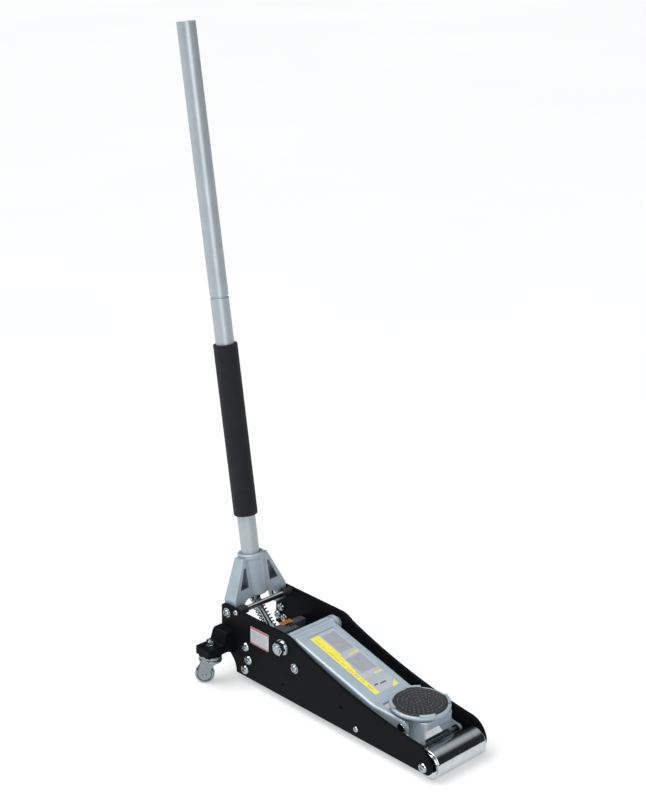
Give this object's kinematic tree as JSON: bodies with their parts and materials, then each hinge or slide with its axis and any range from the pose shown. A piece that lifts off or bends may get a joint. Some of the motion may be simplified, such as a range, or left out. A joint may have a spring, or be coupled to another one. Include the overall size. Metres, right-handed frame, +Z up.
{
  "type": "trolley jack",
  "caption": "Low-profile trolley jack with a hydraulic lift arm, levelling saddle, front roller, rear casters and a tall two-part pump handle that also opens the release valve.",
  "frame": {"origin": "middle of the footprint of the resting jack, on the floor", "axes": "+X forward to the front roller, +Y to the jack's left, +Z up along the raised handle"},
  "size_m": [0.6795, 0.2574, 1.1173],
  "materials": {
    "frame_black": "satin black powder coat",
    "silver_paint": "satin silver-grey paint",
    "saddle_steel": "silver-grey, slightly cast",
    "zinc": "bright zinc plate",
    "caster_steel": "pressed and zinc plated",
    "chrome": "polished",
    "unit_iron": "dark grey paint on cast iron",
    "black_steel": "black oxide",
    "tube": "silver, lightly drawn",
    "grip_foam": "matte closed-cell foam",
    "rubber": "matte"
  },
  "bodies": {
    "chassis": {"side_plate_right": "frame_black", "side_plate_left": "frame_black", "front_axle": "zinc", "lift_pivot_shaft": "zinc", "lift_pivot_nuts": "zinc", "lift_pivot_washers": "zinc", "link_pivot_bolts": "zinc", "handle_pivot_bolts": "zinc", "pivot_bolt_washers": "zinc", "handle_stop_bar": "chrome", "handle_stop_sleeves": "rubber", "front_tie_bar": "frame_black", "tie_bar_bolts": "zinc", "power_unit_bolts": "zinc", "pump_block": "unit_iron", "ram_cylinder": "unit_iron", "ram_gland": "unit_iron", "filler_plug": "zinc", "pump_barrel": "zinc", "release_gland": "zinc", "caster_bracket_right": "frame_black", "caster_bracket_left": "frame_black", "caster_bracket_bolts": "zinc", "caster_stem_nuts": "zinc", "caster_stem_washers": "zinc", "caster_raceways": "caster_steel", "return_springs": "zinc", "pump_spring": "black_steel"},
    "arm": {"lift_arm": "silver_paint", "arm_hub_tube": "silver_paint", "ram_cross_pin": "zinc", "cradle_pivot_pins": "zinc"},
    "control_links": {"control_link_right": "silver_paint", "control_link_left": "silver_paint"},
    "cradle": {"saddle_cradle": "silver_paint", "cradle_shaft": "zinc"},
    "saddle": {"saddle_dish": "saddle_steel", "saddle_pad": "rubber", "saddle_retaining_clip": "zinc"},
    "ram": {"ram_rod": "chrome", "ram_push_head": "zinc"},
    "socket": {"handle_socket": "silver_paint", "pump_roller_bracket": "black_steel", "pump_roller_pin": "zinc"},
    "pump_roller": {"pump_roller": "zinc"},
    "handle": {"handle_lower_tube": "tube", "handle_upper_tube": "tube", "handle_joint_sleeve": "tube", "handle_grip": "grip_foam", "handle_drive_plug": "zinc", "drive_cross_pin": "zinc"},
    "release": {"release_rod": "zinc"},
    "plunger": {"pump_plunger": "zinc"},
    "front_roller": {"front_roller": "chrome"},
    "caster_swivel_right": {"caster_fork_right": "caster_steel", "caster_axle_right": "caster_steel"},
    "caster_swivel_left": {"caster_fork_left": "caster_steel", "caster_axle_left": "caster_steel"},
    "caster_wheel_right": {"caster_wheel_right": "caster_steel"},
    "caster_wheel_left": {"caster_wheel_left": "caster_steel"}
  },
  "joints": [
    {"name": "lift", "type": "hinge", "parent": "chassis", "child": "arm", "pos_m": [-0.0137, 0, 0.1105], "axis": [0, -1, 0], "range_deg": [0, 65], "deforming": ["return_springs"]},
    {"name": "link_swing", "type": "hinge", "parent": "chassis", "child": "control_links", "pos_m": [0.0173, 0, 0.082], "axis": [0, -1, 0], "range_deg": [0, 65]},
    {"name": "cradle_level", "type": "hinge", "parent": "arm", "child": "cradle", "pos_m": [0.2473, 0, 0.0605], "axis": [0, -1, 0], "range_deg": [-65, 0]},
    {"name": "saddle_spin", "type": "hinge", "parent": "cradle", "child": "saddle", "pos_m": [0.2423, 0, 0.0777], "axis": [0, 0, 1], "continuous": true},
    {"name": "ram_slide", "type": "slide", "parent": "chassis", "child": "ram", "axis": [0.9537, 0, 0.3007], "range_m": [0, 0.05588]},
    {"name": "handle_pump", "type": "hinge", "parent": "chassis", "child": "socket", "pos_m": [-0.1547, 0, 0.122], "axis": [0, -1, 0], "range_deg": [0, 60], "stiffness_Nm_per_rad": 6, "springref_deg": -28.65, "deforming": ["pump_spring"]},
    {"name": "pump_slide", "type": "slide", "parent": "chassis", "child": "plunger", "axis": [0.7314, 0, -0.682], "range_m": [0, 0.016]},
    {"name": "pump_roller_spin", "type": "hinge", "parent": "socket", "child": "pump_roller", "pos_m": [-0.17, 0.011, 0.11732], "axis": [0, 1, 0], "continuous": true},
    {"name": "handle_twist", "type": "hinge", "parent": "socket", "child": "handle", "pos_m": [-0.1547, 0, 0.122], "axis": [-0.1681, 0, 0.9858], "range_deg": [0, 540]},
    {"name": "release_turn", "type": "hinge", "parent": "chassis", "child": "release", "pos_m": [-0.1547, 0, 0.122], "axis": [-0.7314, 0, 0.682], "range_deg": [0, 540]},
    {"name": "front_roller_spin", "type": "hinge", "parent": "chassis", "child": "front_roller", "pos_m": [0.3143, 0, 0.0255], "axis": [0, 1, 0], "continuous": true},
    {"name": "caster_swivel_right", "type": "hinge", "parent": "chassis", "child": "caster_swivel_right", "pos_m": [-0.1567, -0.106, 0.057], "axis": [0, 0, 1], "continuous": true},
    {"name": "caster_wheel_spin_right", "type": "hinge", "parent": "caster_swivel_right", "child": "caster_wheel_right", "pos_m": [-0.16377, -0.11307, 0.017], "axis": [0.7071, -0.7071, 0], "continuous": true},
    {"name": "caster_swivel_left", "type": "hinge", "parent": "chassis", "child": "caster_swivel_left", "pos_m": [-0.1567, 0.106, 0.057], "axis": [0, 0, 1], "continuous": true},
    {"name": "caster_wheel_spin_left", "type": "hinge", "parent": "caster_swivel_left", "child": "caster_wheel_left", "pos_m": [-0.16377, 0.11307, 0.017], "axis": [0.7071, 0.7071, 0], "continuous": true}
  ],
  "couplings": [
    {"joint": "link_swing", "follows": "lift", "ratio": 1},
    {"joint": "cradle_level", "follows": "lift", "ratio": -1},
    {"joint": "ram_slide", "follows": "lift", "m_per_rad": 0.049255},
    {"joint": "pump_slide", "follows": "handle_pump", "m_per_rad": 0.015278},
    {"joint": "release_turn", "follows": "handle_twist", "ratio": 1}
  ]
}
